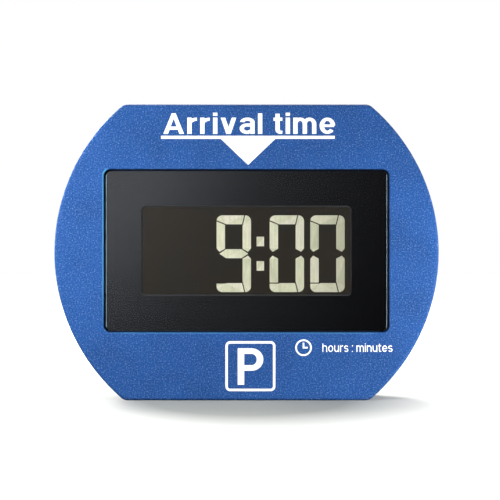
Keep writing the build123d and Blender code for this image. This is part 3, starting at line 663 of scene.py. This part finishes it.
def parking_letter(wide, tall, pen_w, pen_h):
    """A plain bold P, its foot at z 0 and its stem's left at x 0."""
    bowl_foot = tall * 0.385
    middle = (tall + bowl_foot) / 2
    reach_z = (tall - bowl_foot - pen_h) / 2
    bend_x = wide - pen_w / 2 - reach_z
    bend = arc(bend_x, middle, reach_z, reach_z, 90, -90, 32)
    path = [(pen_w / 2, tall - pen_h / 2), *bend, (pen_w / 2, bowl_foot + pen_h / 2)]
    return stroke(path, pen_w, pen_h) + [rectangle(0, 0, pen_w, tall)]


def rounded_frame(half, radius, line):
    """A square ring with rounded corners about the origin."""
    path = []
    middle, bend = half - line / 2, radius - line / 2
    for quarter, (sign_x, sign_z) in enumerate(((1, 1), (-1, 1), (-1, -1), (1, -1))):
        corner = (sign_x * (middle - bend), sign_z * (middle - bend))
        path += arc(*corner, bend, bend, 90 * quarter, 90 * quarter + 90, 8)
    return stroke(path, line, closed=True)


def print_front():
    """Heading, arrow, parking sign and the small legend, placed in mm from the middle of the face."""
    def white(name, shapes, x, z):
        mark(name, shapes, x * MM, MID_Z + z * MM, FRONT_Y, "print_white")

    heading = lettering("Arrival time", width=44.6 * MM, height=5.35 * MM, pen_w=0.2, pen_h=0.155)
    white("heading_print", heading, -21.6, 30.75)

    rule_left, rule_right, rule_foot, rule_top = -22.2 * MM, 22.9 * MM, 29.45 * MM, 30.25 * MM
    pointer_left, pointer_right, pointer_top = -6.8 * MM, 7.6 * MM, rule_foot + 0.1 * MM
    pointer = [(pointer_left, pointer_top), (0.4 * MM, 22.7 * MM), (pointer_right, pointer_top)]
    white("arrow_print", [rectangle(rule_left, rule_foot, rule_right, rule_top), pointer], 0, 0)

    sign_frame = rounded_frame(half=6.5 * MM, radius=1.25 * MM, line=0.65 * MM)
    white("sign_frame_print", sign_frame, 1.0, -29.55)
    sign_letter = parking_letter(wide=6.65 * MM, tall=9.5 * MM, pen_w=1.7 * MM, pen_h=1.46 * MM)
    white("sign_letter_print", sign_letter, -2.3, -34.4)

    white("clock_mark_print", clock_face(radius=2.15 * MM), 14.8, -24.75)
    legend = lettering("hours : minutes", width=18.2 * MM, height=2.15 * MM, pen_w=0.135, pen_h=0.12)
    white("legend_print", legend, 19.7, -25.85)


def mark_back():
    """Plain signs that say what each button does, which way the door slides, and the cells' poles."""
    line, arm = 0.45 * MM, 1.7 * MM
    below_button, above_door_foot = 4.2 * MM, 17 * MM
    plus_sign = [rectangle(-arm, -line / 2, arm, line / 2), rectangle(-line / 2, -arm, line / 2, arm)]
    for name, shapes in (("set", clock_face(radius=2.0 * MM)), ("adjust", plus_sign)):
        low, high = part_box(name + "_button")
        mark(name + "_mark_print", shapes, (low.x + high.x) / 2, low.z - below_button, REAR_Y,
             "print_white", facing=1)
    arrow = [(-2.6 * MM, 0), (2.6 * MM, 0), (0, 3.4 * MM)]
    mark("door_arrow_print", [arrow], (door_low.x + door_high.x) / 2, door_low.z + above_door_foot,
         door_high.y, "print_white", body="battery_door", facing=1)
    ring_share, ring_line, cell_plus_share, cell_arm = 0.82, 0.35 * MM, 0.45, 1.6 * MM
    for number in (1, 2):
        low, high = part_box("coin_cell_can_%d" % number)
        radius = (high.x - low.x) / 2
        ring = arc(0, 0, radius * ring_share, radius * ring_share, 0, 360, 72)[:-1]
        shapes = stroke(ring, ring_line, closed=True)
        plus_z = radius * cell_plus_share
        for wide, tall in ((cell_arm, line / 2), (line / 2, cell_arm)):
            shapes.append(rectangle(-wide, plus_z - tall, wide, plus_z + tall))
        mark("coin_cell_mark_%d" % number, shapes, (low.x + high.x) / 2, (low.z + high.z) / 2, high.y,
             "cell_seal", facing=1, thickness=0.06 * MM)


# ------------------------------------------------------------------ camera
def add_camera():
    """Straight from the front and far away, its axis a little off the disc's middle."""
    view_width = 129.8 * MM                 # what the frame spans at the front face
    aside, above = 0.9 * MM, 0.6 * MM
    lens_length, sensor = 85.0, 36.0
    distance = view_width * lens_length / sensor
    camera = bpy.data.objects.new("camera", bpy.data.cameras.new("camera"))
    camera.data.lens = lens_length
    camera.data.sensor_width = sensor
    camera.data.clip_start = 0.01
    camera.location = (aside, FRONT_Y - distance, MID_Z + above)
    camera.rotation_euler = (math.radians(90), 0, 0)
    bpy.context.scene.collection.objects.link(camera)
    bpy.context.scene.camera = camera


# ------------------------------------------------------------------ light, world and floor
LIGHTS = (      # name, place, width, height, watts, and whether it shows in gloss
    ("left_softbox", (-0.125, -0.085, 0.072), 0.08, 0.08, 0.42, False),
    ("right_softbox", (0.128, -0.075, 0.012), 0.08, 0.06, 0.5, False),
    ("top_softbox", (0, 0.1, 0.7), 0.5, 0.4, 1.2, False),
    ("back_softbox", (0, 0.3, 0.65), 0.35, 0.35, 5.0, True),
    ("rear_fill", (-0.3, 0.4, 0.25), 0.3, 0.3, 5.0, True),
)
SOFT_LIGHT_LEFT = 15.0      # the round light stands this many degrees left of the front, and above it
SOFT_LIGHT_UP = 9.0
SOFT_LIGHT_SPREAD = 30.0    # degrees from its middle to where it ends
SOFT_LIGHT_FALLOFF = (      # share of the spread, and the level there
    (0.0, 1.9), (0.33, 1.6), (0.42, 1.25), (0.45, 0.93), (0.5, 0.6), (0.55, 0.38),
    (0.64, 0.24), (0.72, 0.13), (0.8, 0.05), (1.0, 0.0),
)
SOFT_LIGHT_TINT = (1.0, 1.04, 1.14)
CEILING_TONES = ((0.0, (0.012, 0.012, 0.014, 1)), (1.0, (0.3, 0.3, 0.31, 1)))
REAR_TONES = ((0.0, (0.42, 0.43, 0.45, 1)), (0.5, (0.8, 0.81, 0.83, 1)), (1.0, WHITE))
FLOOR_TONES = ((0.3, (0.36, 0.37, 0.35, 1)), (0.7, (0.38, 0.39, 0.37, 1)))
FLOOR_HALF = 1.5
GLOW_SQUEEZE = (1.5, 1.2, 0)            # makes the patch under the object without glow, a painted shadow, an ellipse
GLOW_START, GLOW_FULL = 0.04, 0.1       # from the object's middle, in squeezed metres


def add_light(name, place, width, height, watts, in_gloss):
    """A rectangular light aimed at the disc's middle."""
    light = bpy.data.lights.new(name, "AREA")
    light.shape = "RECTANGLE"
    light.size = width
    light.size_y = height
    light.energy = watts
    lamp = bpy.data.objects.new(name, light)
    lamp.location = place
    direction = Vector((0, 0, MID_Z)) - Vector(place)
    lamp.rotation_euler = direction.to_track_quat("-Z", "Y").to_euler()
    lamp.visible_camera = False
    lamp.visible_glossy = in_gloss
    bpy.context.scene.collection.objects.link(lamp)


def add_world():
    """White to the camera; in gloss, a dim room with a pale ceiling, a pale rear and one soft round light.

    Matt surfaces take their light from the lamps only.
    """
    world = bpy.data.worlds.new("room")
    world.use_nodes = True
    world.cycles_visibility.diffuse = False
    bpy.context.scene.world = world
    room = Nodes(world.node_tree, "Generated")

    def gradient(value, low, high, stops):
        return room.ramp(room.range(value, 0.0, 1.0, low, high), *stops)

    axes = room.axes(room.place)
    ceiling = gradient(axes["Z"], 0.25, 0.8, CEILING_TONES)
    behind = gradient(axes["Y"], 0.1, 0.6, ((0.0, (0, 0, 0, 1)), (1.0, WHITE)))
    rear = room.mix(1.0, behind, gradient(axes["Z"], -0.6, 0.5, REAR_TONES), "MULTIPLY")
    across, up = math.radians(SOFT_LIGHT_LEFT), math.radians(SOFT_LIGHT_UP)
    towards = (-math.sin(across) * math.cos(up), -math.cos(across) * math.cos(up), math.sin(up))
    nearness = room.vector_maths("DOT_PRODUCT", room.place, towards)["Value"]
    tinted = [(at, (*(level * tint for tint in SOFT_LIGHT_TINT), 1)) for at, level in SOFT_LIGHT_FALLOFF]
    round_light = gradient(
        room.maths("ARCCOSINE", nearness), 0.0, math.radians(SOFT_LIGHT_SPREAD), tinted)
    total = room.mix(1.0, room.mix(1.0, round_light, ceiling, "ADD"), rear, "ADD")
    backgrounds = []
    for colour in (total, WHITE):
        background = room.add("ShaderNodeBackground")
        room.feed(background.inputs["Color"], colour)
        backgrounds.append(background.outputs["Background"])
    to_camera = room.add("ShaderNodeLightPath").outputs["Is Camera Ray"]
    output = room.add("ShaderNodeOutputWorld")
    room.link(room.blend(to_camera, *backgrounds), output.inputs["Surface"])


def add_floor():
    """A grey floor that glows white away from the object; the glow fades out near it, a painted shadow
    around its real one, so that only the shadow beside it shows.
    """
    half = FLOOR_HALF
    corners = [(-half, -half, 0), (half, -half, 0), (half, half, 0), (-half, half, 0)]
    mesh = bpy.data.meshes.new("floor")
    mesh.from_pydata(corners, [], [(0, 1, 2, 3)])
    floor = bpy.data.objects.new("floor", mesh)
    bpy.context.scene.collection.objects.link(floor)
    floor.visible_glossy = False
    floor.visible_diffuse = False
    shader = Shader("floor_white")
    shader.set(Roughness=0.8, Specular_IOR_Level=0.1, Emission_Color=WHITE)
    # no glow near the object: a painted shadow
    squeezed = shader.vector_maths("MULTIPLY", shader.place, GLOW_SQUEEZE)["Vector"]
    away = shader.vector_maths("LENGTH", squeezed)["Value"]
    shader.drive(Base_Color=shader.ramp(shader.noise(0.05), *FLOOR_TONES),
                 Emission_Strength=shader.range(away, 0.0, 1.0, GLOW_START, GLOW_FULL))
    mesh.materials.append(shader.material)


dress_nodes()
print_front()
mark_back()
add_camera()
for row in LIGHTS:
    add_light(*row)
add_world()
add_floor()
bpy.context.scene.view_settings.view_transform = "Standard"
bpy.context.scene.cycles.transparent_max_bounces = 32      # light crosses the whole stack of clear sheets
